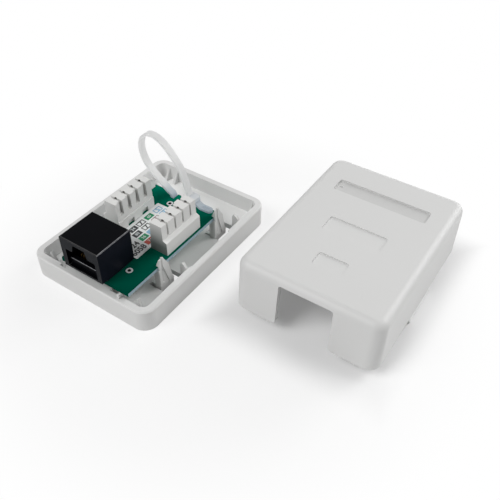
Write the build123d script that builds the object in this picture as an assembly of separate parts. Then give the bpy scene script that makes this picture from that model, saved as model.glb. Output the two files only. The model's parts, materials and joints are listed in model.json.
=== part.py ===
from build123d import *
import math
import os

# Surface-mount box with one network socket, shown open with its cover standing beside it.
# Sizes are in millimetres. The tray stands on z = 0 with its middle over the origin.
# +X is the tray's right side seen from the socket's mouth, -Y is the way the mouth looks.

# Tray
tray_width = 48.7
tray_length = 65.7
tray_height = 8.1
tray_wall = 2.4
tray_floor = 2.0
tray_corner = 4.8
tray_rim_chamfer = 0.45
land_left = -9.2
land_right = 8.3
land_depth = 2.45
land_round = 2.3
rim_cut_middle = -11.05
rim_cut_width = 2.3
rim_cut_depth = 0.9
rim_cut_drop = 3.0
fixing_hole_radius = 2.1
fixing_hole_spacing = 27.0
fixing_hole_middle = -1.5

# Circuit board
board_width = 27.6
board_length = 45.6
board_thickness = 1.6
board_middle = 2.1
board_front = -30.3
board_bottom = 9.5
tie_notch_width = 1.5
tie_notch_depth = 2.8
tie_notch_left = -2.2
tie_notch_right = 3.3

# Snap hooks at the board's right edge, each with a support, a fin and a floor opening.
# Lengths along Y are counted from the hook's front face, heights down from its crest.
hook_starts = (-16.7, 12.3)
board_play = 0.1
hook_thickness = 0.75
hook_width = 1.9
hook_reach = 0.6
hook_height = 3.1
hook_crest = 0.35
groove_start = 0.85
groove_width = 0.5
groove_depth = 0.4
groove_drop = 10.2
support_lead = 0.4
support_length = 1.8
support_overlap = 1.5
fin_steps = ((1.9, 0.3), (4.2, 4.3), (5.3, 10.2), (6.1, 11.9))
fin_hollow_length = 2.5
fin_hollow_drop = 3.0
fin_hollow_depth = 0.3
foot_setback = 0.25
bridge_start = 0.3
bridge_length = 1.2
windows = ((-17.6, -8.4), (12.0, 20.8))
window_inside = 3.9
window_outside = 2.9

# Pointed ribs and gussets of the tray
rib_thickness = 1.0
wall_rib_steps = ((4.3, 0), (4.3, 4.6), (4.0, 5.6), (3.5, 5.8), (2.8, 5.4), (1.8, 4.0), (0, 2.6))
stud_steps = ((-0.7, 0), (-0.6, 4.7), (-0.3, 5.8), (0.1, 6.2), (0.5, 5.6), (1.1, 3.4), (2.0, 0))
stud_places = ((17.5, -28.2), (-19.2, -28.2))
front_stud_x = 12.65
front_stud_width = 0.9
gusset_places = (-18.5, -14.6, 19.4)
gusset_length = 2.6
gusset_height = 4.8

# Latch pockets in the tray's side walls, in line with the cover's tongues
tongue_start = -6.1
tongue_end = 10.0
pocket_depth = 0.5
pocket_end_gap = 2.4

# Cover
cover_width = 47.7
cover_length = 64.7
cover_height = 18.2
cover_wall = 1.8
cover_corner = 4.3
cover_draft = 0.5
cover_edge_round = 2.7
cover_x = 63.8
cover_y = 21.6
cover_turn = 0.41
mouth_half_top = 8.65
mouth_half_bottom = 8.9
mouth_height = 16.0
mouth_round = 0.8
mouth_foot_round = 1.2
cable_gate_width = 10.0
cable_gate_height = 6.0
cable_gate_round = 1.0
tongue_drop = 4.6
tongue_thickness = 1.2
tongue_inset = 0.45
barb_reach = 0.35
barb_height = 1.3
title_recess = (0.0, 17.05, 31.7, 6.1, 0.7)
plain_recesses = ((0.0, -2.215, 19.2, 6.97, 0.4), (0.0, -17.8, 9.8, 5.5, 0.4))
recess_round = 0.9
dimple_place = (-14.2, 17.05)
dimple_radius = 0.55
dimple_depth = 0.35

# Socket
jack_width = 15.5
jack_front = -32.3
jack_rear = -18.2
jack_top = 23.4
jack_standoff = 0.3
jack_nose_lift = 0.3
jack_edge = 0.25
cavity_width = 12.1
cavity_floor = 12.3
shoulder_height = 19.2
keyway_height = 22.2
keyway_half_low = 3.15
keyway_half_high = 2.3
keyway_back = -23.6
cavity_back = -21.9
chamber_back = -18.7
chamber_top = 14.0
peg_spacing = 11.43
peg_y = -24.6
peg_radius = 1.55
peg_drop = 3.2

# Contact carrier and spring contacts of the socket
contact_count = 8
contact_pitch = 1.016
contact_width = 0.45
contact_thickness = 0.35
contact_level = 13.55
contact_bend = 0.5
bend_steps = 3
contact_front = -28.8
contact_turn_height = 15.25
contact_tip_y = -22.9
contact_tip_z = 17.6
leg_rows = (-19.5, -21.1)
leg_end = 8.3
bar_front = -31.2
bar_depth = 1.6
bar_top = 14.9
carrier_top = 13.9
slide_gap = 0.1
wire_slot_gap = 0.08

# Terminal blocks, sizes of the right-hand one; the left-hand one is the same part turned round
block_front = -11.2
block_length = 16.95
block_inner_foot = 8.55
block_inner_step = 8.9
block_inner_top = 9.2
block_step_height = 3.9
block_outer_foot = 15.35
block_chamfer_start = 4.9
block_chamfer_end = 5.6
block_chamfer_x = 13.95
block_outer_top = 13.8
block_height = 11.0
slot_pitch = 3.81
slot_count = 4
slot_width = 0.7
slot_depth = 4.8
pit_radius = 0.6
pit_depth = 0.5
recess_width = 1.8
recess_depth = 0.5
recess_drop = 5.3
foot_notch_places = (0.35, -6.55)
foot_notch_length = 3.0
foot_notch_height = 2.0
foot_notch_depth = 0.8
blade_x = 11.8
blade_thickness = 0.5
blade_width = 2.4
blade_gap = 0.1
blade_top_drop = 0.6
blade_slit = 0.3
blade_slit_depth = 6.0
blade_mouth = 1.2
blade_mouth_depth = 1.0
blade_leg_width = 0.8

# Legs of all contacts end in solder under the board
leg_hole_gap = 0.2
solder_radius = 0.8
solder_tip_share = 0.45
solder_height = 0.8
solder_sides = 8

# Plated holes of the board
plated_places = ((9.83, -22.9), (-0.7, 9.6))
plated_radius = 1.15
plated_hole_radius = 0.6
plating_thickness = 0.12

# Printed label
label_front = -17.8
label_rear = 7.4
label_thickness = 0.2
label_gap = 0.15

# Cable tie
tie_width = 2.5
tie_thickness = 0.9
tie_y = 14.0
tie_under = 0.15
tie_head_start = 4.4
tie_head_length = 3.5
tie_head_width = 4.0
tie_head_height = 3.3
tie_head_lift = 0.1
tie_tail_end = 14.2
tie_tunnel_gap = 0.12
tie_bend = 1.0
tie_groove_width = 1.2
tie_groove_depth = 0.2
loop_steps = 34
tie_loop = (
    (4.4, 16.0), (1.1, 25.0), (-0.8, 27.5), (-5.0, 31.8), (-8.5, 33.4), (-12.0, 33.0),
    (-14.6, 30.0), (-15.1, 25.5), (-12.5, 19.7), (-6.5, 14.6), (-3.8, 12.5),
)

inner_width = tray_width - 2 * tray_wall
inner_length = tray_length - 2 * tray_wall
board_top = board_bottom + board_thickness
board_left = board_middle - board_width / 2
board_right = board_middle + board_width / 2
board_rear = board_front + board_length
slot_middle = block_front + block_length / 2


# A plain box between two values on each axis.
def cuboid(x, y, z):
    middle = Pos((x[0] + x[1]) / 2, (y[0] + y[1]) / 2, (z[0] + z[1]) / 2)
    return middle * Box(x[1] - x[0], y[1] - y[0], z[1] - z[0])


# A solid whose outline is drawn in X and Z and runs along Y.
def along_y(outline, y):
    return Pos(0, y[1], 0) * extrude(Plane.XZ * outline, y[1] - y[0])


# A solid whose outline is drawn in Y and Z and runs along X.
def along_x(outline, x):
    return Pos(x[0], 0, 0) * extrude(Plane.YZ * outline, x[1] - x[0])


def polygon(*points):
    return make_face(Polyline(*points, close=True))


def turned_about_board_middle(shape):
    return Pos(board_middle, slot_middle, 0) * Rot(0, 0, 180) * Pos(-board_middle, -slot_middle, 0) * shape


def mirrored_about_board_middle(shape):
    return mirror(shape, Plane.YZ.offset(board_middle))


# Tray


# A hook over the board's right edge, with the support in front of it and the fin behind it.
def snap_post(start):
    face = board_right + board_play
    back = face + hook_thickness
    tip = board_right - hook_reach
    crest = board_top + hook_height
    hook = polygon(
        (face, 0), (face, board_top), (tip, board_top), (tip, board_top + hook_crest),
        (back - hook_crest, crest), (back, crest), (back, 0),
    )
    post = along_y(hook, (start, start + hook_width))
    groove_end = start + groove_start + groove_width
    fin = [(groove_end, 0), (groove_end, crest)]
    fin += [(start + behind, crest - drop) for behind, drop in fin_steps]
    post += along_x(polygon(*fin, (fin[-1][0], 0)), (face, back))
    support_y = (start - support_lead, start - support_lead + support_length)
    post += cuboid((board_right - support_overlap, back), support_y, (0, board_bottom))

    # Groove beside the hook, hollow in the fin's side and a foot narrower than the post
    groove_y = (groove_end - groove_width, groove_end)
    post -= cuboid((back - groove_depth, back + 1), groove_y, (crest - groove_drop, crest + 1))
    foot = tray_floor + 0.2
    hollow = polygon(
        (groove_end, crest - fin_hollow_drop), (groove_end, foot), (groove_end + fin_hollow_length, foot)
    )
    post -= along_x(hollow, (back - fin_hollow_depth, back + 1))
    post -= cuboid((back - foot_setback, back + 1), (support_y[0] - 1, fin[-1][0] + 1), (-1, foot))
    return post


def snap_window(y):
    return cuboid((board_right - window_inside, board_right + window_outside), y, (-1, tray_floor + 1))


# A bar under the board that carries the post from the inner side of the floor opening.
def post_bridge(start):
    x = (board_right - window_inside - 0.5, board_right + board_play)
    return cuboid(x, (start + bridge_start, start + bridge_start + bridge_length), (0, tray_floor))


# A rib that stands on the floor behind the opening and leans on the right-hand wall.
def wall_rib(y):
    outline = [(inner_width / 2 - out, tray_floor - 0.5 + up) for out, up in wall_rib_steps]
    outline += [(inner_width / 2 + 0.5, outline[-1][1]), (inner_width / 2 + 0.5, outline[0][1])]
    return along_y(polygon(*outline), (y, y + rib_thickness))


# A triangular gusset between the rear wall and the floor.
def rear_gusset(x):
    wall = inner_length / 2
    outline = polygon(
        (wall + 0.5, 1), (wall + 0.5, tray_floor + gusset_height), (wall, tray_floor + gusset_height),
        (wall - gusset_length, tray_floor + 0.6), (wall - gusset_length, 1),
    )
    return along_x(outline, (x - rib_thickness / 2, x + rib_thickness / 2))


def base_tray():
    tray = extrude(RectangleRounded(tray_width, tray_length, tray_corner), tray_height)
    tray = chamfer(tray.edges().group_by(Axis.Z)[-1], tray_rim_chamfer)
    hollow = RectangleRounded(inner_width, inner_length, tray_corner - tray_wall)
    tray -= Pos(0, 0, tray_floor) * extrude(hollow, tray_height)

    # Land at rim height under the socket's nose, rounded where it meets the open floor
    land_back = -inner_length / 2 + land_depth
    land = cuboid((land_left, land_right), (-inner_length / 2 - 0.5, land_back), (1, tray_height))
    corner = land.edges().filter_by(Axis.Z).group_by(Axis.X)[-1].sort_by(Axis.Y)[-1]
    tray += fillet(corner, land_round)
    tray -= cuboid(
        (rim_cut_middle - rim_cut_width / 2, rim_cut_middle + rim_cut_width / 2),
        (-inner_length / 2 - rim_cut_depth, -inner_length / 2 + 0.5),
        (tray_height - rim_cut_drop, tray_height + 1),
    )

    # Latch pockets for the cover's tongues
    pocket_y = (tongue_start - pocket_end_gap, tongue_end + pocket_end_gap)
    tray -= cuboid(
        (-inner_width / 2 - pocket_depth, inner_width / 2 + pocket_depth),
        pocket_y,
        (tray_floor, tray_height + 1),
    )

    # Floor openings first, then the posts that stand in them
    for start, window in zip(hook_starts, windows):
        opening = snap_window(window)
        post = snap_post(start) + post_bridge(start)
        tray -= opening
        tray -= mirrored_about_board_middle(opening)
        tray += post
        tray += mirrored_about_board_middle(post)
        tray += wall_rib(window[1])

    # Stop under the board's front edge, pointed studs in the front corners, gussets at the rear wall
    stop_y = (-inner_length / 2 - 1.2, -inner_length / 2 + 0.6)
    tray += cuboid(
        (front_stud_x - front_stud_width / 2, front_stud_x + front_stud_width / 2), stop_y, (1, board_bottom)
    )
    for x, y in stud_places:
        stud = polygon(*[(x + aside, tray_floor + up) for aside, up in stud_steps])
        tray += along_y(stud, (y - rib_thickness / 2, y + rib_thickness / 2))
    for x in gusset_places:
        tray += rear_gusset(x)

    # Holes for the two fixing screws
    for side in (-1, 1):
        y = fixing_hole_middle + side * fixing_hole_spacing / 2
        tray -= Pos(board_middle, y, -1) * extrude(Circle(fixing_hole_radius), tray_floor + 2)
    return tray


# Cover


# Outline of the socket's opening, with the wall's lower corners rounded off beside it.
def mouth_outline():
    flare = 2 * mouth_foot_round
    outline = polygon(
        (-mouth_half_bottom - flare, -tongue_drop), (-mouth_half_bottom - flare, 0),
        (-mouth_half_bottom, 0), (-mouth_half_top, mouth_height), (mouth_half_top, mouth_height),
        (mouth_half_bottom, 0), (mouth_half_bottom + flare, 0), (mouth_half_bottom + flare, -tongue_drop),
    )
    top = outline.vertices().group_by(Axis.Y)[-1]
    outline = fillet(top, mouth_round)
    foot = outline.vertices().group_by(Axis.Y)[1].sort_by(Axis.X)[1:3]
    return fillet(foot, mouth_foot_round)


# A latch tongue on the +X wall, with a small barb at its foot.
def cover_tongue():
    outer = cover_width / 2 - tongue_inset
    inner = outer - tongue_thickness
    outline = polygon(
        (inner, 1), (inner, -tongue_drop + 0.4), (inner + 0.25, -tongue_drop), (outer, -tongue_drop),
        (outer + barb_reach, -tongue_drop + barb_height / 2),
        (outer + barb_reach, -tongue_drop + barb_height),
        (outer, -tongue_drop + barb_height + 0.2), (outer, 1),
    )
    return along_y(outline, (tongue_start, tongue_end))


# A flat recess in the cover's top: middle x, middle y, width, length, depth.
def top_recess(x, y, width, length, depth):
    outline = RectangleRounded(width, length, recess_round)
    return Pos(x, y, cover_height - depth) * extrude(outline, depth + 1)


def cover():
    lean = math.degrees(math.atan2(cover_draft, cover_height))
    shell = extrude(RectangleRounded(cover_width, cover_length, cover_corner), cover_height, taper=lean)
    shell = fillet(shell.edges().group_by(Axis.Z)[-1], cover_edge_round)
    hollow = RectangleRounded(
        cover_width - 2 * cover_wall, cover_length - 2 * cover_wall, cover_corner - cover_wall
    )
    shell -= extrude(hollow, cover_height - cover_wall, taper=lean)
    front = (-cover_length / 2 - 1, -cover_length / 2 + cover_wall + cover_draft + 1)
    shell -= along_y(mouth_outline(), front)

    gate = Rectangle(cable_gate_width, 2 * cable_gate_height)
    gate = fillet(gate.vertices().group_by(Axis.Y)[-1], cable_gate_round)
    shell -= along_y(gate, (cover_length / 2 - cover_wall - cover_draft - 1, cover_length / 2 + 1))

    shell -= top_recess(*title_recess)
    for recess in plain_recesses:
        shell -= top_recess(*recess)
    dimple = Pos(*dimple_place, cover_height - title_recess[4] - dimple_depth)
    shell -= dimple * extrude(Circle(dimple_radius), title_recess[4])

    shell += cover_tongue()
    shell += mirror(cover_tongue(), Plane.YZ)
    return Pos(cover_x, cover_y, tongue_drop) * Rot(0, 0, cover_turn) * shell


# Board


def slot_places():
    first = slot_middle - slot_pitch * (slot_count - 1) / 2
    return [first + slot_pitch * index for index in range(slot_count)]


# Middle, across and along sizes of each contact leg where it passes the board.
def jack_legs():
    first = -contact_pitch * (contact_count - 1) / 2
    return [
        (first + contact_pitch * index, leg_rows[index % 2], contact_width, contact_thickness)
        for index in range(contact_count)
    ]


def block_legs():
    legs = []
    for y in slot_places():
        legs.append((blade_x, y, blade_thickness, blade_leg_width))
        legs.append((2 * board_middle - blade_x, 2 * slot_middle - y, blade_thickness, blade_leg_width))
    return legs


def circuit_board():
    board = cuboid((board_left, board_right), (board_front, board_rear), (board_bottom, board_top))
    for x in (tie_notch_left, tie_notch_right):
        board -= cuboid(
            (x - tie_notch_width / 2, x + tie_notch_width / 2),
            (board_rear - tie_notch_depth, board_rear + 1),
            (board_bottom - 1, board_top + 1),
        )
    for x, y, across, along in jack_legs() + block_legs():
        hole = Rectangle(across + 2 * leg_hole_gap, along + 2 * leg_hole_gap)
        board -= Pos(x, y, board_bottom - 1) * extrude(hole, board_thickness + 2)
    for x, y in plated_places:
        radius = plated_hole_radius + plating_thickness
        board -= Pos(x, y, board_bottom - 1) * extrude(Circle(radius), board_thickness + 2)
    for side in (-1, 1):
        place = Pos(side * peg_spacing / 2, peg_y, board_bottom - 1)
        board -= place * extrude(Circle(peg_radius + slide_gap), board_thickness + 2)
    return board


# Rings of metal through the plain holes, with a thin flange on both faces of the board.
def plated_hole_rings():
    rings = []
    for x, y in plated_places:
        pipe = extrude(Circle(plated_hole_radius + plating_thickness), board_thickness)
        ring = Pos(x, y, board_bottom) * pipe
        for level in (board_top, board_bottom - plating_thickness):
            ring += Pos(x, y, level) * extrude(Circle(plated_radius), plating_thickness)
        ring -= Pos(x, y, board_bottom - 1) * extrude(Circle(plated_hole_radius), board_thickness + 2)
        rings.append(ring)
    return Compound(children=rings)


# A low pyramid of solder round each leg, wide at the board and narrow at the leg's end.
def solder_joints():
    joints = []
    for x, y, across, along in jack_legs() + block_legs():
        base = solder_radius * (0.6 if across == contact_width else 1.0)
        lean = math.degrees(math.atan2(base * (1 - solder_tip_share), solder_height))
        joint = Rot(180, 0, 0) * extrude(RegularPolygon(base, solder_sides), solder_height, taper=lean)
        joint -= Box(across, along, 3 * solder_height)
        joints.append(Pos(x, y, board_bottom) * joint)
    return Compound(children=joints)


def wiring_label():
    left = 2 * board_middle - block_inner_foot + label_gap
    right = block_inner_foot - label_gap
    return cuboid((left, right), (label_front, label_rear), (board_top, board_top + label_thickness))


# Socket


def jack_housing():
    half = jack_width / 2
    bottom = board_top + jack_standoff
    side = polygon(
        (jack_front, bottom + jack_nose_lift), (jack_front, jack_top), (jack_rear, jack_top),
        (jack_rear, bottom), (board_front, bottom), (board_front, bottom + jack_nose_lift),
    )
    body = along_x(side, (-half, half))
    body = chamfer(body.edges().group_by(Axis.Z)[-1], jack_edge)

    # Plug opening: wide part, keyway for the plug's lever, low chamber for the contact carrier
    inside = cavity_width / 2
    body -= cuboid((-inside, inside), (jack_front - 1, cavity_back), (cavity_floor, shoulder_height))
    keyway = polygon(
        (-keyway_half_low, shoulder_height - 1), (-keyway_half_low, shoulder_height),
        (-keyway_half_high, keyway_height), (keyway_half_high, keyway_height),
        (keyway_half_low, shoulder_height), (keyway_half_low, shoulder_height - 1),
    )
    body -= along_y(keyway, (jack_front - 1, keyway_back))
    body -= cuboid((-inside, inside), (cavity_back - 1, chamber_back), (cavity_floor, chamber_top))
    leg_span = contact_pitch * (contact_count - 1) / 2 + contact_width
    body -= cuboid((-leg_span, leg_span), (min(leg_rows) - 0.6, chamber_back), (bottom - 1, cavity_floor + 1))

    # Feet on the board and the two pegs that pass through it
    for x_side in (-1, 1):
        x = x_side * peg_spacing / 2
        body += Pos(x, peg_y, board_top) * extrude(Circle(peg_radius + 0.4), jack_standoff + 0.2)
        peg = extrude(Circle(peg_radius), peg_drop + 0.2)
        peg = chamfer(peg.edges().group_by(Axis.Z)[0], 0.4)
        body += Pos(x, peg_y, board_top - peg_drop) * peg
    return body


def contact_carrier():
    inside = cavity_width / 2 - slide_gap
    bar = cuboid((-inside, inside), (bar_front, bar_front + bar_depth), (cavity_floor, bar_top))
    bar = fillet(bar.edges().group_by(Axis.Z)[-1].filter_by(Axis.X).sort_by(Axis.Y)[0], 0.3)
    plate = cuboid((-inside, inside), (bar_front, chamber_back - slide_gap), (cavity_floor, carrier_top))
    carrier = bar + plate
    reach = contact_width / 2 + wire_slot_gap
    groove_floor = contact_level - contact_thickness / 2
    for x, leg_y, across, along in jack_legs():
        front = contact_front - contact_thickness / 2 - wire_slot_gap
        carrier -= cuboid((x - reach, x + reach), (front, leg_y + along), (groove_floor, bar_top + 1))
        carrier -= cuboid(
            (x - reach, x + reach), (leg_y - contact_bend, leg_y + along), (cavity_floor - 1, bar_top + 1)
        )
    return carrier


# Corners of a line rounded with one bend radius, each arc given by a few points on it.
def rounded(points, bend):
    corners = [Vector(*point) for point in points]
    path = [corners[0]]
    for before, corner, after in zip(corners, corners[1:], corners[2:]):
        back = (before - corner).normalized()
        ahead = (after - corner).normalized()
        half_turn = math.radians(180 - back.get_angle(ahead)) / 2
        centre = corner + (back + ahead).normalized() * (bend / math.cos(half_turn))
        start = corner + back * (bend * math.tan(half_turn))
        end = corner + ahead * (bend * math.tan(half_turn))
        for step in range(bend_steps + 1):
            chord = start + (end - start) * (step / bend_steps)
            path.append(centre + (chord - centre).normalized() * bend)
    path.append(corners[-1])
    return path


# A flat strip of one thickness that follows a path of points.
def band(path, thickness):
    near = []
    far = []
    for before, point, after in zip(path[:1] + path, path, path[1:] + path[-1:]):
        aside = (after - before).normalized().rotate(Axis.Z, 90) * (thickness / 2)
        near.append(point + aside)
        far.append(point - aside)
    return polygon(*near, *reversed(far))


def jack_contact(index):
    x, leg_y, across, along = jack_legs()[index]
    points = (
        (leg_y, leg_end), (leg_y, contact_level), (contact_front, contact_level),
        (contact_front, contact_turn_height), (contact_tip_y, contact_tip_z),
    )
    outline = band(rounded(points, contact_bend), contact_thickness)
    return along_x(outline, (x - across / 2, x + across / 2))


# Terminal blocks


def idc_block():
    top = board_top + block_height
    outline = polygon(
        (block_inner_foot, board_top), (block_inner_foot, board_top + block_step_height),
        (block_inner_step, board_top + block_step_height), (block_inner_top, top), (block_outer_top, top),
        (block_chamfer_x, board_top + block_chamfer_end), (block_outer_foot, board_top + block_chamfer_start),
        (block_outer_foot, board_top),
    )
    body = along_y(outline, (block_front, block_front + block_length))
    for y in slot_places():
        body -= cuboid(
            (block_inner_foot - 1, block_outer_foot + 1),
            (y - slot_width / 2, y + slot_width / 2),
            (top - slot_depth, top + 1),
        )
        body -= cuboid(
            (block_inner_foot - 1, block_inner_top + recess_depth),
            (y - slot_width / 2, y - slot_width / 2 + recess_width),
            (top - recess_drop, top + 1),
        )
        pocket_x = blade_thickness / 2 + blade_gap
        pocket_y = blade_width / 2 + blade_gap
        body -= cuboid(
            (blade_x - pocket_x, blade_x + pocket_x),
            (y - pocket_y, y + pocket_y),
            (board_top - 1, top - pit_depth),
        )
        body -= Pos(blade_x, y, top) * Cylinder(pit_radius, 2 * pit_depth + 0.1)
    for y in foot_notch_places:
        body -= cuboid(
            (block_inner_foot - 1, block_inner_foot + foot_notch_depth),
            (y - foot_notch_length / 2, y + foot_notch_length / 2),
            (board_top - 1, board_top + foot_notch_height),
        )
    return body


# A fork of sheet metal: two tines with a slit that cuts into the wire, and one leg.
def idc_contact(y):
    top = board_top + block_height - blade_top_drop
    wide = blade_width / 2
    slit = blade_slit / 2
    leg = blade_leg_width / 2
    foot = board_top + 0.1
    outline = polygon(
        (-leg, leg_end), (-leg, foot), (-wide, foot), (-wide, top), (-blade_mouth / 2, top),
        (-slit, top - blade_mouth_depth), (-slit, top - blade_slit_depth), (slit, top - blade_slit_depth),
        (slit, top - blade_mouth_depth), (blade_mouth / 2, top), (wide, top), (wide, foot), (leg, foot),
        (leg, leg_end),
    )
    blade = along_x(outline, (blade_x - blade_thickness / 2, blade_x + blade_thickness / 2))
    return Pos(0, y, 0) * blade


# Cable tie


def cable_tie():
    half = tie_thickness / 2
    tunnel = board_top + tie_head_lift + tie_head_height / 2 - half
    under = board_bottom - tie_under - half
    lying = board_top + half
    head_end = tie_head_start + tie_head_length
    low_run = (
        (tie_notch_left, board_top - 0.4), (tie_notch_left, under), (tie_notch_right, under),
        (tie_notch_right, tunnel), (head_end + 0.2, tunnel), (head_end + 1.8, lying), (tie_tail_end, lying),
    )
    flat = band(rounded(low_run, tie_bend), tie_thickness)
    y = (tie_y - tie_width / 2, tie_y + tie_width / 2)
    strap = along_y(flat, y)

    # The tail's end is round seen from above, and its top has a shallow groove for the teeth
    end = tie_tail_end - tie_width / 2
    corners = cuboid((end, tie_tail_end + 1), (y[0] - 1, y[1] + 1), (board_top - 1, board_top + tie_width))
    strap -= corners - Pos(end, tie_y, board_top - 1) * extrude(Circle(tie_width / 2), tie_width + 1)
    strap -= cuboid(
        (head_end + 2.4, end),
        (tie_y - tie_groove_width / 2, tie_y + tie_groove_width / 2),
        (board_top + tie_thickness - tie_groove_depth, board_top + tie_thickness + 1),
    )

    root = (tie_head_start + half + 0.1, board_top + tie_head_lift + tie_head_height - 0.3)
    foot = (tie_notch_left, board_top - 0.4)
    loop = Spline(root, *tie_loop, foot, tangents=((-0.25, 1), (0, -1)))
    path = [loop @ (step / loop_steps) for step in range(loop_steps + 1)]
    strap += along_y(band(path, tie_thickness), y)

    head = cuboid(
        (tie_head_start, head_end),
        (tie_y - tie_head_width / 2, tie_y + tie_head_width / 2),
        (board_top + tie_head_lift, board_top + tie_head_lift + tie_head_height),
    )
    head = fillet(head.edges().filter_by(Axis.Z), 0.4)
    gap = half + tie_tunnel_gap
    head -= cuboid(
        (tie_head_start - 1, head_end + 1),
        (y[0] - tie_tunnel_gap, y[1] + tie_tunnel_gap),
        (tunnel - gap, tunnel + gap),
    )
    return strap + head


parts = {
    "base_tray": base_tray(),
    "cover": cover(),
    "circuit_board": circuit_board(),
    "wiring_label": wiring_label(),
    "jack_housing": jack_housing(),
    "contact_carrier": contact_carrier(),
    "idc_block_right": idc_block(),
    "idc_block_left": turned_about_board_middle(idc_block()),
    "cable_tie": cable_tie(),
    "plated_hole_rings": plated_hole_rings(),
    "solder_joints": solder_joints(),
}
for index in range(contact_count):
    parts["jack_contact_" + str(index + 1)] = jack_contact(index)
for index, place in enumerate(slot_places()):
    contact = idc_contact(place)
    parts["idc_contact_right_" + str(index + 1)] = contact
    parts["idc_contact_left_" + str(index + 1)] = turned_about_board_middle(contact)

os.makedirs("parts", exist_ok=True)
for name, shape in parts.items():
    export_step(shape, "parts/" + name + ".step")
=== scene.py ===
import json
import math
import bpy
from mathutils import Matrix, Vector

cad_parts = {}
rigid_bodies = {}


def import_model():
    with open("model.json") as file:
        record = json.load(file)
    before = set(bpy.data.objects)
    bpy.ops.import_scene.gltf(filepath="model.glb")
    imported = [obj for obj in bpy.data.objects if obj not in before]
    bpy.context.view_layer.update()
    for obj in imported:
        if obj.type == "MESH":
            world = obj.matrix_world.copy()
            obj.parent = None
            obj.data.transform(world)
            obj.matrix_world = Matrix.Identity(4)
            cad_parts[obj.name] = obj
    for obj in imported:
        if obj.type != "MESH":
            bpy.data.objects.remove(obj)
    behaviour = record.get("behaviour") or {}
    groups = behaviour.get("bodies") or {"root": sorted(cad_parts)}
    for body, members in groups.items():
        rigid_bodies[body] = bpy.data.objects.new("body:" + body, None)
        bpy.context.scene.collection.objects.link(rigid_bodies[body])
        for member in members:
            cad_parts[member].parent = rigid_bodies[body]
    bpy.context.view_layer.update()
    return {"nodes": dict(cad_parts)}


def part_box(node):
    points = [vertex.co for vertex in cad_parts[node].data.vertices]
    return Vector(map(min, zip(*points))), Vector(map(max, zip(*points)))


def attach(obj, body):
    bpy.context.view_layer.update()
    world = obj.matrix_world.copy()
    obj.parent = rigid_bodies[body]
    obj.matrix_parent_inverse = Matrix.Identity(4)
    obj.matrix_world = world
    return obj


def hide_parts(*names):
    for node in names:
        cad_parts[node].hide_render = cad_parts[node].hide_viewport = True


# Surface-mount network socket lying open, with its cover standing beside it.
# All places are in metres in the frame of the CAD model; mm() turns millimetres to metres.

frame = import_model()
print("frame loaded:", len(frame["nodes"]), "nodes")


def mm(*values):
    scaled = tuple(value / 1000 for value in values)
    return scaled[0] if len(scaled) == 1 else scaled


def linearColour(hexText):
    channels = [int(hexText[i:i + 2], 16) / 255 for i in (1, 3, 5)]
    return tuple(c / 12.92 if c < 0.04045 else ((c + 0.055) / 1.055) ** 2.4 for c in channels) + (1,)


# Camera: the photograph's own viewpoint
cameraSetup = {
    "place": mm(113.224, -114.252, 145.617),
    "lookAt": mm(28.698, 15.783, 0),
    "rollDegrees": -1.115,
    "lens": 44.316,  # for a 36 mm square frame
}


def makeCamera(setup):
    bpy.ops.object.camera_add(location=setup["place"])
    camera = bpy.context.object
    camera.name = "viewCamera"
    view = Vector(setup["lookAt"]) - camera.location
    roll = Matrix.Rotation(math.radians(setup["rollDegrees"]), 3, view.normalized())
    camera.rotation_mode = "QUATERNION"
    camera.rotation_quaternion = (roll @ view.to_track_quat("-Z", "Y").to_matrix()).to_quaternion()
    camera.data.lens = setup["lens"]
    camera.data.sensor_width = 36
    camera.data.clip_start = 0.01
    camera.data.clip_end = 10
    bpy.context.scene.camera = camera


makeCamera(cameraSetup)
print("camera placed")


# Materials
# One node with its input values, its own settings and its incoming links.
def addNode(material, kind, inputs=None, links=None, **settings):
    tree = material.node_tree
    node = tree.nodes.new(kind)
    for name, value in settings.items():
        setattr(node, name, value)
    for name, value in (inputs or {}).items():
        node.inputs[name].default_value = value
    for name, (source, output) in (links or {}).items():
        tree.links.new(source.outputs[output], node.inputs[name])
    return node


def newMaterial(name):
    material = bpy.data.materials.new(name)
    material.use_nodes = True
    material.node_tree.nodes.clear()
    return material


def finishMaterial(material, shader):
    addNode(material, "ShaderNodeOutputMaterial", links={"Surface": (shader, 0)})
    return material


# A noise pattern's scale, from the size of its features in millimetres
def perMetre(millimetres):
    return 1000 / millimetres


reliefDepth = mm(0.02)


# Painted shade: a face's foot darkened in colour towards its bottom, for the shade of the piece before it
def darkerFoot(material, place, tone, look):
    height = addNode(material, "ShaderNodeSeparateXYZ", links={"Vector": (place, "Object")})
    low, high = mm(*look["paintedShadeMm"])
    rise = addNode(
        material, "ShaderNodeMapRange", {"From Min": low, "From Max": high}, {"Value": (height, "Z")}
    )
    shaded = addNode(material, "ShaderNodeMix", links={0: (rise, 0), 7: (tone, 2)}, data_type="RGBA")
    shaded.inputs[6].default_value = linearColour(look["paintedShadeTone"])
    return shaded
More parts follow.
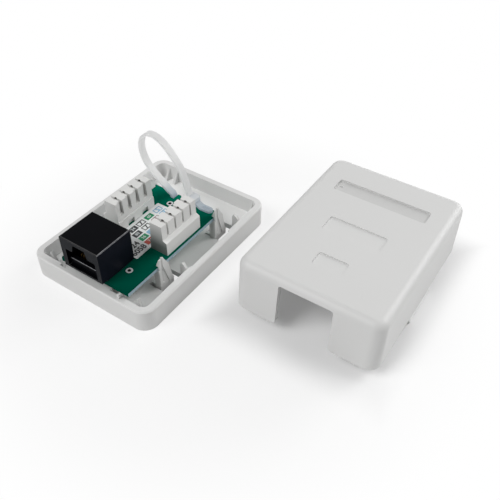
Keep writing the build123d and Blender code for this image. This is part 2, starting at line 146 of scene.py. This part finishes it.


# Injection-moulded plastic: a fine spark-eroded grain and a slow change of tone from the melt's flow, and, where
# a look gives a foot tone, painted shade at the face's foot
def mouldedPlastic(name, look):
    material = newMaterial(name)
    place = addNode(material, "ShaderNodeTexCoord")
    flow = addNode(
        material, "ShaderNodeTexNoise", {"Scale": perMetre(look["flowMm"]), "Detail": 2},
        {"Vector": (place, "Object")},
    )
    tone = addNode(material, "ShaderNodeMix", links={0: (flow, 0)}, data_type="RGBA")
    tone.inputs[6].default_value = linearColour(look["darkTone"])
    tone.inputs[7].default_value = linearColour(look["lightTone"])
    if "paintedShadeTone" in look:
        tone = darkerFoot(material, place, tone, look)
    grain = addNode(
        material, "ShaderNodeTexNoise", {"Scale": perMetre(look["grainMm"]), "Detail": 3, "Roughness": 0.6},
        {"Vector": (place, "Object")},
    )
    uneven = 0.05
    gloss = addNode(
        material, "ShaderNodeMapRange",
        {"To Min": look["roughness"] - uneven, "To Max": look["roughness"] + uneven}, {"Value": (grain, 0)},
    )
    relief = addNode(
        material, "ShaderNodeBump", {"Strength": look["relief"], "Distance": reliefDepth}, {"Height": (grain, 0)}
    )
    shader = addNode(
        material, "ShaderNodeBsdfPrincipled", {"IOR": look["ior"]},
        {"Base Color": (tone, 2), "Roughness": (gloss, 0), "Normal": (relief, 0)},
    )
    if "specular" in look:
        shader.inputs["Specular IOR Level"].default_value = look["specular"]
    return finishMaterial(material, shader)


plasticLooks = {
    "abs": {
        "darkTone": "#d9d9d8", "lightTone": "#dddddc", "flowMm": 30, "grainMm": 0.5,
        "roughness": 0.5, "relief": 0.12, "ior": 1.54,
    },
    "absTray": {
        "darkTone": "#dbdbda", "lightTone": "#dfdfde", "flowMm": 30, "grainMm": 0.5,
        "roughness": 0.5, "relief": 0.12, "ior": 1.54,
    },
    "absTrayFloorPaintedLight": {
        "darkTone": "#fafaf9", "lightTone": "#fefefd", "flowMm": 6, "grainMm": 0.5,
        "roughness": 0.42, "relief": 0.12, "ior": 1.54,
    },
    "absRecess": {
        "darkTone": "#cbcbca", "lightTone": "#cfcfce", "flowMm": 2, "grainMm": 0.2,
        "roughness": 0.6, "relief": 0.3, "ior": 1.54,
    },
    "polycarbonate": {
        "darkTone": "#dcdcda", "lightTone": "#e2e2e0", "flowMm": 9, "grainMm": 0.4,
        "roughness": 0.42, "relief": 0.1, "ior": 1.58,
    },
    "polycarbonateEndShaded": {
        "darkTone": "#dcdcda", "lightTone": "#e2e2e0", "flowMm": 9, "grainMm": 0.4,
        "roughness": 0.42, "relief": 0.1, "ior": 1.58, "paintedShadeTone": "#6a6e6c", "paintedShadeMm": (14, 23.5),
    },
    "polycarbonateSlotShade": {
        "darkTone": "#d4d4d2", "lightTone": "#dadad8", "flowMm": 2, "grainMm": 0.3,
        "roughness": 0.5, "relief": 0.1, "ior": 1.58,
    },
    "polycarbonatePitShade": {
        "darkTone": "#2e2e2d", "lightTone": "#383837", "flowMm": 2, "grainMm": 0.3,
        "roughness": 0.5, "relief": 0.1, "ior": 1.58,
    },
    "blackNylon": {
        "darkTone": "#050608", "lightTone": "#090a0e", "flowMm": 6, "grainMm": 0.3,
        "roughness": 0.34, "relief": 0.12, "ior": 1.53, "specular": 0.02,
    },
    "blackNylonSideLit": {
        "darkTone": "#0f1117", "lightTone": "#181b24", "flowMm": 6, "grainMm": 0.3,
        "roughness": 0.34, "relief": 0.12, "ior": 1.53, "specular": 0.03,
    },
    "blackNylonFrontLit": {
        "darkTone": "#1e2023", "lightTone": "#25272b", "flowMm": 6, "grainMm": 0.3,
        "roughness": 0.34, "relief": 0.12, "ior": 1.53, "specular": 0.03,
    },
}
absPlastic = mouldedPlastic("mouldedAbsPaleGrey", plasticLooks["abs"])
trayPlastic = mouldedPlastic("mouldedAbsPaleGreyTray", plasticLooks["absTray"])
trayFloorPaintedLight = mouldedPlastic("mouldedAbsTrayFloorPaintedLight", plasticLooks["absTrayFloorPaintedLight"])
endPaintedShadePlastic = mouldedPlastic("mouldedPolycarbonateEndPaintedShade", plasticLooks["polycarbonateEndShaded"])
recessPlastic = mouldedPlastic("mouldedAbsRecessFloorDarker", plasticLooks["absRecess"])
terminalPlastic = mouldedPlastic("mouldedPolycarbonateWhite", plasticLooks["polycarbonate"])
slotPaintedShade = mouldedPlastic("mouldedPolycarbonateSlotPaintedShade", plasticLooks["polycarbonateSlotShade"])
pitPaintedShade = mouldedPlastic("mouldedPolycarbonatePitPaintedShade", plasticLooks["polycarbonatePitShade"])
socketPlastic = mouldedPlastic("mouldedNylonBlack", plasticLooks["blackNylon"])
socketSidePaintedLight = mouldedPlastic("mouldedNylonBlackSidePaintedLight", plasticLooks["blackNylonSideLit"])
socketFrontPaintedLight = mouldedPlastic("mouldedNylonBlackFrontPaintedLight", plasticLooks["blackNylonFrontLit"])


# Painted highlight on the black pieces' edge radii: lighter in colour where they look up and towards one side,
# broken up by noise
housingEdgeHighlight = {
    "dull": "#131416", "bright": "#86878b", "towards": (0.7, 0, 0.7), "lean": (0.72, 0.95), "gain": 1.6,
    "roughness": 0.3, "ior": 1.53, "highlightBreakMm": 1.5,
}
combEdgeHighlight = dict(housingEdgeHighlight, dull="#17181a", bright="#707276", towards=(0, -0.7, 0.7), highlightBreakMm=3)


def polishedEdge(name, look):
    material = newMaterial(name)
    place = addNode(material, "ShaderNodeTexCoord")
    lean = addNode(
        material, "ShaderNodeVectorMath", {1: look["towards"]}, {0: (place, "Normal")}, operation="DOT_PRODUCT"
    )
    dullest, brightest = look["lean"]
    facing = addNode(
        material, "ShaderNodeMapRange", {"From Min": dullest, "From Max": brightest}, {"Value": (lean, "Value")}
    )
    highlightBreak = addNode(
        material, "ShaderNodeTexNoise", {"Scale": perMetre(look["highlightBreakMm"]), "Detail": 2},
        {"Vector": (place, "Object")},
    )
    share = addNode(material, "ShaderNodeMath", links={0: (facing, 0), 1: (highlightBreak, 0)}, operation="MULTIPLY")
    raised = addNode(material, "ShaderNodeMath", {1: look["gain"]}, {0: (share, 0)}, operation="MULTIPLY")
    raised.use_clamp = True
    tone = addNode(material, "ShaderNodeMix", links={0: (raised, 0)}, data_type="RGBA")
    tone.inputs[6].default_value = linearColour(look["dull"])
    tone.inputs[7].default_value = linearColour(look["bright"])
    shader = addNode(
        material, "ShaderNodeBsdfPrincipled", {"Roughness": look["roughness"], "IOR": look["ior"]},
        {"Base Color": (tone, 2)},
    )
    return finishMaterial(material, shader)


socketEdgePaintedHighlight = polishedEdge("mouldedNylonBlackEdgePaintedHighlight", housingEdgeHighlight)
combEdgePaintedHighlight = polishedEdge("mouldedNylonBlackCombEdgePaintedHighlight", combEdgeHighlight)


# Natural nylon in a thin strap: a little of what lies behind shows through, and the colour is painted darker and
# bluer low down near the board as painted shade
strapLook = {
    "shadeLowTone": "#c3ced8", "highTone": "#ececec", "lowMm": 11, "highMm": 15, "grainMm": 0.6,
    "roughness": 0.36, "relief": 0.08, "ior": 1.53, "through": 0.45, "alpha": 0.87,
}


def thinNylon(name, look):
    material = newMaterial(name)
    place = addNode(material, "ShaderNodeTexCoord")
    height = addNode(material, "ShaderNodeSeparateXYZ", links={"Vector": (place, "Object")})
    rise = addNode(
        material, "ShaderNodeMapRange", {"From Min": mm(look["lowMm"]), "From Max": mm(look["highMm"])},
        {"Value": (height, "Z")},
    )
    tone = addNode(material, "ShaderNodeMix", links={0: (rise, 0)}, data_type="RGBA")
    tone.inputs[6].default_value = linearColour(look["shadeLowTone"])
    tone.inputs[7].default_value = linearColour(look["highTone"])
    grain = addNode(
        material, "ShaderNodeTexNoise", {"Scale": perMetre(look["grainMm"]), "Detail": 2},
        {"Vector": (place, "Object")},
    )
    relief = addNode(
        material, "ShaderNodeBump", {"Strength": look["relief"], "Distance": reliefDepth}, {"Height": (grain, 0)}
    )
    shader = addNode(
        material, "ShaderNodeBsdfPrincipled",
        {"Roughness": look["roughness"], "IOR": look["ior"], "Alpha": look["alpha"]},
        {"Base Color": (tone, 2), "Normal": (relief, 0)},
    )
    backlight = addNode(material, "ShaderNodeBsdfTranslucent", links={"Color": (tone, 2)})
    mixed = addNode(
        material, "ShaderNodeMixShader", {0: look["through"]}, {1: (shader, 0), 2: (backlight, 0)}
    )
    return finishMaterial(material, mixed)


tiePlastic = thinNylon("naturalNylonStrap", strapLook)


# Plated sheet metal: brushed by the rolls, a little uneven in its plating
def platedMetal(name, colour, roughness):
    material = newMaterial(name)
    place = addNode(material, "ShaderNodeTexCoord")
    patches = addNode(
        material, "ShaderNodeTexNoise", {"Scale": perMetre(0.6), "Detail": 3}, {"Vector": (place, "Object")}
    )
    gloss = addNode(
        material, "ShaderNodeMapRange", {"To Min": roughness - 0.08, "To Max": roughness + 0.1},
        {"Value": (patches, 0)},
    )
    shader = addNode(
        material, "ShaderNodeBsdfPrincipled", {"Base Color": linearColour(colour), "Metallic": 1.0},
        {"Roughness": (gloss, 0)},
    )
    return finishMaterial(material, shader)


# Painted shade: the gold is made far darker than real gold, so the contacts stay dark inside the socket's mouth
goldPlateShaded = platedMetal("goldPlatedBronzeShaded", "#3a2d15", 0.55)
tinPlate = platedMetal("tinPlatedBronze", "#c9c6bf", 0.35)
solderTin = platedMetal("solderTin", "#d2d3d4", 0.28)


# True where a face looks along one axis, to tell a plate's faces from its edges
def facesAlong(material, place, axis):
    normal = addNode(material, "ShaderNodeSeparateXYZ", links={"Vector": (place, "Normal")})
    size = addNode(material, "ShaderNodeMath", links={0: (normal, axis)}, operation="ABSOLUTE")
    return addNode(material, "ShaderNodeMath", {1: 0.5}, {0: (size, 0)}, operation="GREATER_THAN")


# Tinned rings of the plated holes: bright flat faces, and the walls down the hole painted near black as painted
# shade
def platedRing(name, faceColour, holeShadeColour):
    material = newMaterial(name)
    place = addNode(material, "ShaderNodeTexCoord")
    flat = facesAlong(material, place, "Z")
    colour = addNode(material, "ShaderNodeMix", links={0: (flat, 0)}, data_type="RGBA")
    colour.inputs[6].default_value = linearColour(holeShadeColour)
    colour.inputs[7].default_value = linearColour(faceColour)
    patches = addNode(
        material, "ShaderNodeTexNoise", {"Scale": perMetre(0.5), "Detail": 2}, {"Vector": (place, "Object")}
    )
    gloss = addNode(
        material, "ShaderNodeMapRange", {"To Min": 0.3, "To Max": 0.5}, {"Value": (patches, 0)}
    )
    shader = addNode(
        material, "ShaderNodeBsdfPrincipled", {"Metallic": 0.3, "IOR": 1.8},
        {"Base Color": (colour, 2), "Roughness": (gloss, 0)},
    )
    return finishMaterial(material, shader)


ringTin = platedRing("solderTinRing", "#d4d4d6", "#121312")


# Glass-epoxy board: green solder resist, with the pale laminate shown low on the faces that look along X; the
# faces that look along Y keep the resist's colour
boardLook = {
    "bareBelow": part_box("circuit_board")[1][2] - mm(0.35), "relief": 0.06, "reliefDepth": mm(0.03),
    "resistDark": "#003f32", "resistLight": "#00725b", "laminate": "#a4b9c4",
    "roughness": 0.3, "specular": 0.0, "cloudMm": 14, "weaveMm": 0.8, "shadeToPaleMm": (-34, 20), "outOfShadeGain": 1.7,
}


def boardLaminate(look):
    material = newMaterial("glassEpoxyGreenResist")
    place = addNode(material, "ShaderNodeTexCoord")
    cloud = addNode(
        material, "ShaderNodeTexNoise", {"Scale": perMetre(look["cloudMm"]), "Detail": 2},
        {"Vector": (place, "Object")},
    )
    spot = addNode(material, "ShaderNodeSeparateXYZ", links={"Vector": (place, "Object")})
    # Painted shade: the resist darkens towards the front, near the socket, and grows paler towards the rear
    front, rear = mm(*look["shadeToPaleMm"])
    outOfShade = addNode(
        material, "ShaderNodeMapRange", {"From Min": front, "From Max": rear, "To Max": look["outOfShadeGain"]},
        {"Value": (spot, "Y")},
    )
    share = addNode(material, "ShaderNodeMath", links={0: (cloud, 0), 1: (outOfShade, 0)}, operation="MULTIPLY")
    resist = addNode(material, "ShaderNodeMix", links={0: (share, 0)}, data_type="RGBA")
    resist.inputs[6].default_value = linearColour(look["resistDark"])
    resist.inputs[7].default_value = linearColour(look["resistLight"])
    long = facesAlong(material, place, "X")
    low = addNode(
        material, "ShaderNodeMath", {1: look["bareBelow"]}, {0: (spot, "Z")}, operation="LESS_THAN"
    )
    bareAlongX = addNode(material, "ShaderNodeMath", links={0: (long, 0), 1: (low, 0)}, operation="MULTIPLY")
    colour = addNode(material, "ShaderNodeMix", links={0: (bareAlongX, 0), 6: (resist, 2)}, data_type="RGBA")
    colour.inputs[7].default_value = linearColour(look["laminate"])
    weave = addNode(
        material, "ShaderNodeTexNoise", {"Scale": perMetre(look["weaveMm"]), "Detail": 1},
        {"Vector": (place, "Object")},
    )
    relief = addNode(
        material, "ShaderNodeBump", {"Strength": look["relief"], "Distance": look["reliefDepth"]},
        {"Height": (weave, 0)},
    )
    shader = addNode(
        material, "ShaderNodeBsdfPrincipled",
        {"Roughness": look["roughness"], "IOR": 1.55, "Specular IOR Level": look["specular"]},
        {"Base Color": (colour, 2), "Normal": (relief, 0)},
    )
    return finishMaterial(material, shader)


boardMaterial = boardLaminate(boardLook)


# Coated paper: faint fibres in tone and relief
def coatedPaper(name, colour):
    material = newMaterial(name)
    place = addNode(material, "ShaderNodeTexCoord")
    fibre = addNode(
        material, "ShaderNodeTexNoise", {"Scale": perMetre(0.35), "Detail": 4}, {"Vector": (place, "Object")}
    )
    relief = addNode(
        material, "ShaderNodeBump", {"Strength": 0.15, "Distance": mm(0.01)}, {"Height": (fibre, 0)}
    )
    shader = addNode(
        material, "ShaderNodeBsdfPrincipled",
        {"Base Color": linearColour(colour), "Roughness": 0.55, "IOR": 1.5}, {"Normal": (relief, 0)},
    )
    return finishMaterial(material, shader)


labelPaper = coatedPaper("coatedPaperWhite", "#eef0f0")
print("materials made")


# Refined copies of the CAD nodes: merged, with the moulding's small edge radii put on
def deselectAll():
    if bpy.context.object and bpy.context.object.mode != "OBJECT":
        bpy.ops.object.mode_set(mode="OBJECT")
    bpy.ops.object.select_all(action="DESELECT")


def softenedCopy(nodeName, pieceName, edgeMm, material, slotName, smoothTo=40, edgeMaterial=None):
    source = frame["nodes"][nodeName]
    deselectAll()
    source.select_set(True)
    bpy.context.view_layer.objects.active = source
    bpy.ops.object.duplicate()
    piece = bpy.context.object
    bpy.ops.object.parent_clear(type="CLEAR_KEEP_TRANSFORM")
    piece.name = pieceName
    piece.data.name = pieceName
    for key in list(piece.keys()):
        del piece[key]
    bpy.ops.object.mode_set(mode="EDIT")
    bpy.ops.mesh.select_all(action="SELECT")
    bpy.ops.mesh.remove_doubles(threshold=mm(0.002))
    bpy.ops.mesh.dissolve_limited(angle_limit=math.radians(0.6))
    bpy.ops.object.mode_set(mode="OBJECT")
    piece.data.materials.clear()
    piece.data.materials.append(material)
    if edgeMaterial:
        piece.data.materials.append(edgeMaterial)
    if edgeMm:
        bevel = piece.modifiers.new("edgeRadius", "BEVEL")
        bevel.material = len(piece.data.materials) - 1
        bevel.width = mm(edgeMm)
        bevel.segments = 2
        bevel.limit_method = "ANGLE"
        bevel.angle_limit = math.radians(38)
        bevel.use_clamp_overlap = True
        bpy.ops.object.modifier_apply(modifier=bevel.name)
    bpy.ops.object.shade_smooth_by_angle(angle=math.radians(smoothTo))
    even = piece.modifiers.new("evenNormals", "WEIGHTED_NORMAL")
    even.keep_sharp = True
    bpy.ops.object.modifier_apply(modifier=even.name)
    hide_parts(nodeName)
    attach(piece, "root")
    return piece


softenedNodes = (
    ("base_tray", "trayMoulding", 0.12, trayPlastic, "tray_plastic", 22),
    ("cover", "coverMoulding", 0.2, absPlastic, "cover_plastic"),
    ("idc_block_left", "terminalBlockLeft", 0.1, terminalPlastic, "terminal_plastic"),
    ("idc_block_right", "terminalBlockRight", 0.1, terminalPlastic, "terminal_plastic"),
    # The socket's and the comb's bevel faces take the painted highlight material
    ("jack_housing", "socketHousing", 0.14, socketPlastic, "socket_plastic", 40, socketEdgePaintedHighlight),
    ("contact_carrier", "contactComb", 0.1, socketPlastic, "carrier_plastic", 40, combEdgePaintedHighlight),
    ("cable_tie", "nylonStrap", 0.12, tiePlastic, "tie_plastic"),
)
softPieces = {softened[0]: softenedCopy(*softened) for softened in softenedNodes}
print("moulded pieces softened")


# Faces that test(middle, normal) picks get a material of their own
def repaint(piece, material, test):
    piece.data.materials.append(material)
    for face in piece.data.polygons:
        if test(face.center, face.normal):
            face.material_index = len(piece.data.materials) - 1


facingShare = 0.9  # least part of a face's normal along an axis for the face to count as looking that way


# Faces that look along an axis, either way, and lie less than a depth inside the node's box on that side
def outerFaces(nodeName, axis, way, depth):
    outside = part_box(nodeName)[1 if way > 0 else 0][axis]
    return lambda middle, normal: normal[axis] * way > facingShare and (outside - middle[axis]) * way < depth


# Painted light: the tray's inner floor gets a near-white copy of the tray plastic, so that it looks more
# brightly lit
floorHeights = mm(1.5, 4)
repaint(
    softPieces["base_tray"], trayFloorPaintedLight,
    lambda middle, normal: normal.z > facingShare and floorHeights[0] < middle.z < floorHeights[1],
)
# Painted light: the socket's right side and front get lighter copies of its black plastic, bluish on the side,
# for the light falling on them
repaint(softPieces["jack_housing"], socketSidePaintedLight, outerFaces("jack_housing", 0, 1, mm(2.5)))
repaint(softPieces["jack_housing"], socketFrontPaintedLight, outerFaces("jack_housing", 1, -1, mm(0.5)))
# Painted shade: the right block's end face darkens towards the board, for the shade the socket casts on it
repaint(softPieces["idc_block_right"], endPaintedShadePlastic, outerFaces("idc_block_right", 1, -1, mm(0.1)))
# Painted highlight: the rounding on the comb bar's front edge gets the highlight material too
combRound = 0.45  # least lean forwards and upwards of the rounding on the bar's front edge
repaint(
    softPieces["contact_carrier"], combEdgePaintedHighlight,
    lambda middle, normal: normal.y < -combRound and normal.z > combRound,
)
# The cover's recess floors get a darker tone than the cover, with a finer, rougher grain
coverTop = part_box("cover")[1][2]
recessDepths = mm(0.55, 1.2)
repaint(
    softPieces["cover"], recessPlastic,
    lambda middle, normal: normal.z > facingShare and recessDepths[0] < coverTop - middle.z < recessDepths[1],
)


slotReach = {
    "skin": mm(0.03), "slotDepth": mm(5), "halfWidth": mm(0.4), "behindFork": mm(0.5),
    "pitDepth": mm(2), "pitRadius": mm(0.72),
}


# Painted shade: walls inside a wire slot painted darker, and the round pit over its contact near black
def shadeSlots(side, reach):
    piece = softPieces["idc_block_" + side]
    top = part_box("idc_block_" + side)[1][2]
    boxes = [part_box("idc_contact_" + side + "_" + str(number)) for number in (1, 2, 3, 4)]
    forks = [((low[0] + high[0]) / 2, (low[1] + high[1]) / 2) for low, high in boxes]

    def inSlot(middle, normal):
        deep = reach["skin"] < top - middle.z < reach["slotDepth"]
        return deep and any(
            abs(middle.y - y) < reach["halfWidth"] and middle.x > x - reach["behindFork"] for x, y in forks
        )

    def inPit(middle, normal):
        deep = reach["skin"] < top - middle.z < reach["pitDepth"]
        return deep and any(math.dist((middle.x, middle.y), fork) < reach["pitRadius"] for fork in forks)

    repaint(piece, slotPaintedShade, inSlot)
    repaint(piece, pitPaintedShade, inPit)


shadeSlots("left", slotReach)
shadeSlots("right", slotReach)
print("single faces shaded")


def finishNode(nodeName, material):
    node = frame["nodes"][nodeName]
    node.data.materials.clear()
    node.data.materials.append(material)


finishNode("circuit_board", boardMaterial)
finishNode("wiring_label", labelPaper)
finishNode("plated_hole_rings", ringTin)
finishNode("solder_joints", solderTin)
for nodeName in frame["nodes"]:
    if nodeName.startswith("jack_contact"):
        finishNode(nodeName, goldPlateShaded)
    elif nodeName.startswith("idc_contact"):
        finishNode(nodeName, tinPlate)
print("CAD nodes finished")


# Print on the label: plain colour fields and frames in a grid, with generic digits that read along Y
labelPrint = {
    "cell": (2.1, 3.3), "frame": 0.32, "ink": 0.02, "digitHeight": 1.75, "bold": 0.09,
    "fieldDigitHeight": 1.15, "fieldBold": 0.02,
    "inks": {
        "green": "#12885a", "blue": "#8fbcd8", "red": "#b04a3c", "black": "#3b3d3f", "rose": "#a89496",
        "white": "#dfe4e4",
    },
    # middle x, middle y, ink, digit, and True for a frame instead of a field
    "cells": (
        (-1.9, -11.8, "red", "1", False), (-1.9, -7.9, "black", "24", False), (-1.9, -4.1, "black", "7", True),
        (-1.9, 0.0, "green", "60", False), (-1.9, 4.5, "blue", "5", True),
        (0.75, -8.9, "black", "80", False), (0.75, -4.4, "black", "7", True),
        (0.75, 0.6, "rose", "3", True), (0.75, 4.8, "blue", "9", True),
        (3.5, -8.9, "green", "36", False), (3.5, -5.0, "blue", "5", False), (3.5, -0.9, "green", "2", True),
        (3.5, 3.2, "red", "1", True),
        (6.1, -9.1, "red", "3", False), (6.1, -5.0, "black", "4", True), (6.1, -0.9, "blue", "8", False),
        (6.1, 3.2, "green", "7", False),
    ),
    # middle x, middle y and digits of the two larger rows at the front
    "rows": ((3.6, -13.2, "24"), (6.35, -14.4, "6058")),
    "rowHeight": 2.1,
}


def printedCell(x, y, level, framed):
    width, length = labelPrint["cell"]
    bpy.ops.mesh.primitive_plane_add(size=1, location=mm(x, y, level))
    bpy.ops.transform.resize(value=(mm(width), mm(length), 1))
    bpy.ops.object.transform_apply(location=True, rotation=True, scale=True)
    bpy.ops.object.mode_set(mode="EDIT")
    bpy.ops.mesh.select_all(action="SELECT")
    if framed:
        bpy.ops.mesh.inset(thickness=mm(labelPrint["frame"]), depth=0)
        bpy.ops.mesh.delete(type="FACE")
        bpy.ops.mesh.select_all(action="SELECT")
    bpy.ops.mesh.extrude_region_move(TRANSFORM_OT_translate={"value": (0, 0, mm(labelPrint["ink"]))})
    bpy.ops.mesh.select_all(action="SELECT")
    bpy.ops.mesh.normals_make_consistent(inside=False)
    bpy.ops.object.mode_set(mode="OBJECT")
    return bpy.context.object


def printedDigits(x, y, level, digits, height, bold):
    bpy.ops.object.text_add(location=(0, 0, 0))
    text = bpy.context.object
    text.data.body = digits
    text.data.size = mm(height) * 1.4  # a digit's height is about 0.7 of the font size
    text.data.extrude = mm(labelPrint["ink"]) / 2
    text.data.offset = mm(bold)
    text.data.align_x = "CENTER"
    text.data.align_y = "CENTER"
    text.data.resolution_u = 3
    bpy.ops.object.convert(target="MESH")
    printed = bpy.context.object
    printed.data.transform(Matrix.Translation(mm(x, y, level)) @ Matrix.Rotation(math.radians(90), 4, "Z"))
    return printed


def joinedPiece(pieces, name, material):
    deselectAll()
    for piece in pieces:
        piece.select_set(True)
    bpy.context.view_layer.objects.active = pieces[0]
    bpy.ops.object.join()
    whole = bpy.context.object
    whole.name = name
    whole.data.name = name
    whole.data.materials.clear()
    whole.data.materials.append(material)
    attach(whole, "root")
    return whole


def makeLabelPrint(setup):
    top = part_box("wiring_label")[1][2] * 1000
    printed = {ink: [] for ink in setup["inks"]}
    for x, y, ink, digit, framed in setup["cells"]:
        deselectAll()
        printed[ink].append(printedCell(x, y, top, framed))
        onPaper, onField = top + setup["ink"] / 2, top + 1.5 * setup["ink"]
        if framed:
            printed[ink].append(printedDigits(x, y, onPaper, digit, setup["digitHeight"], setup["bold"]))
        else:
            small = printedDigits(x, y, onField, digit, setup["fieldDigitHeight"], setup["fieldBold"])
            printed["white"].append(small)
    for x, y, digits in setup["rows"]:
        printed["black"].append(printedDigits(x, y, onPaper, digits, setup["rowHeight"], setup["bold"]))
    for ink, pieces in printed.items():
        material = coatedPaper("printInk" + ink.capitalize(), setup["inks"][ink])
        joinedPiece(pieces, "labelPrint" + ink.capitalize(), material)


makeLabelPrint(labelPrint)
print("label printed")


# Soft studio light, on a diffuse floor that the camera sees fade to white away from the object
studio = {
    "floorSize": 6.0, "floorColour": "#fafafa", "skyStrength": 0.19, "aim": mm(25, 0, 10),
    # share of white that the camera sees: little under the cover, more beside it, all of it far away
    "underGlow": 0.12, "nearGlow": 0.7, "glowReach": (1.0, 1.4), "whiteMm": (58, 95),
}
lamps = {
    "rightHighBox": {"place": (0.527, 0.412, 0.743), "size": 0.5, "watts": 2.3},
    "rightRearBox": {"place": (0.438, 0.824, 0.358), "size": 0.5, "watts": 4.2},
    "frontBox": {"place": (-0.283, -0.606, 0.743), "size": 0.5, "watts": 5.4},
}


def makeFloor(setup):
    deselectAll()
    bpy.ops.mesh.primitive_plane_add(size=setup["floorSize"], location=(0, 0, 0))
    floor = bpy.context.object
    floor.name = "studioFloor"
    material = newMaterial("paintedFloorPale")
    paint = addNode(material, "ShaderNodeBsdfDiffuse", {"Color": linearColour(setup["floorColour"])})
    glow = addNode(material, "ShaderNodeEmission", {"Color": (1, 1, 1, 1), "Strength": 1.0})
    path = addNode(material, "ShaderNodeLightPath")
    place = addNode(material, "ShaderNodeTexCoord")
    low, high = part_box("cover")
    middle = tuple((a + b) / 2 for a, b in zip(low, high))
    half = tuple((b - a) / 2 for a, b in zip(low, high))
    across = addNode(material, "ShaderNodeVectorMath", {1: middle}, {0: (place, "Object")}, operation="SUBTRACT")
    sized = addNode(material, "ShaderNodeVectorMath", links={0: (across, 0)}, operation="ABSOLUTE")
    shares = addNode(material, "ShaderNodeVectorMath", {1: half}, {0: (sized, 0)}, operation="DIVIDE")
    split = addNode(material, "ShaderNodeSeparateXYZ", links={"Vector": (shares, 0)})
    outside = addNode(material, "ShaderNodeMath", links={0: (split, "X"), 1: (split, "Y")}, operation="MAXIMUM")
    near = addNode(
        material, "ShaderNodeMapRange",
        {
            "From Min": setup["glowReach"][0], "From Max": setup["glowReach"][1],
            "To Min": setup["underGlow"], "To Max": setup["nearGlow"],
        },
        {"Value": (outside, 0)}, interpolation_type="SMOOTHSTEP",
    )
    offset = addNode(
        material, "ShaderNodeVectorMath", {1: setup["aim"]}, {0: (place, "Object")}, operation="DISTANCE"
    )
    far = addNode(
        material, "ShaderNodeMapRange",
        {
            "From Min": mm(setup["whiteMm"][0]), "From Max": mm(setup["whiteMm"][1]),
            "To Max": 1 - setup["nearGlow"],
        },
        {"Value": (offset, "Value")}, interpolation_type="SMOOTHSTEP",
    )
    fade = addNode(material, "ShaderNodeMath", links={0: (near, 0), 1: (far, 0)}, operation="ADD")
    share = addNode(
        material, "ShaderNodeMath", links={0: (path, "Is Camera Ray"), 1: (fade, 0)}, operation="MULTIPLY"
    )
    shader = addNode(material, "ShaderNodeMixShader", links={0: (share, 0), 1: (paint, 0), 2: (glow, 0)})
    finishMaterial(material, shader)
    floor.data.materials.append(material)


# The camera, mirrors and clear pieces see a white surround; the pieces are lit by a dimmer one
def makeWorld(setup):
    world = bpy.data.worlds.new("studioWorld")
    bpy.context.scene.world = world
    world.use_nodes = True
    world.node_tree.nodes.clear()
    path = addNode(world, "ShaderNodeLightPath")
    clear = addNode(
        world, "ShaderNodeMath", links={0: (path, "Is Transmission Ray"), 1: (path, "Is Glossy Ray")},
        operation="MAXIMUM",
    )
    seen = addNode(
        world, "ShaderNodeMath", links={0: (path, "Is Camera Ray"), 1: (clear, 0)}, operation="MAXIMUM"
    )
    strength = addNode(
        world, "ShaderNodeMapRange", {"To Min": setup["skyStrength"], "To Max": 1.0}, {"Value": (seen, 0)}
    )
    background = addNode(
        world, "ShaderNodeBackground", {"Color": (1, 1, 1, 1)}, {"Strength": (strength, 0)}
    )
    addNode(world, "ShaderNodeOutputWorld", links={"Surface": (background, 0)})


def makeLamp(name, setup):
    bpy.ops.object.light_add(type="AREA", location=setup["place"])
    lamp = bpy.context.object
    lamp.name = name
    lamp.data.size = setup["size"]
    lamp.data.energy = setup["watts"]
    towards = Vector(studio["aim"]) - lamp.location
    lamp.rotation_mode = "QUATERNION"
    lamp.rotation_quaternion = towards.to_track_quat("-Z", "Y")


makeFloor(studio)
makeWorld(studio)
for lampName, lampSetup in lamps.items():
    makeLamp(lampName, lampSetup)
bpy.context.scene.view_settings.view_transform = "Standard"
print("studio lit")
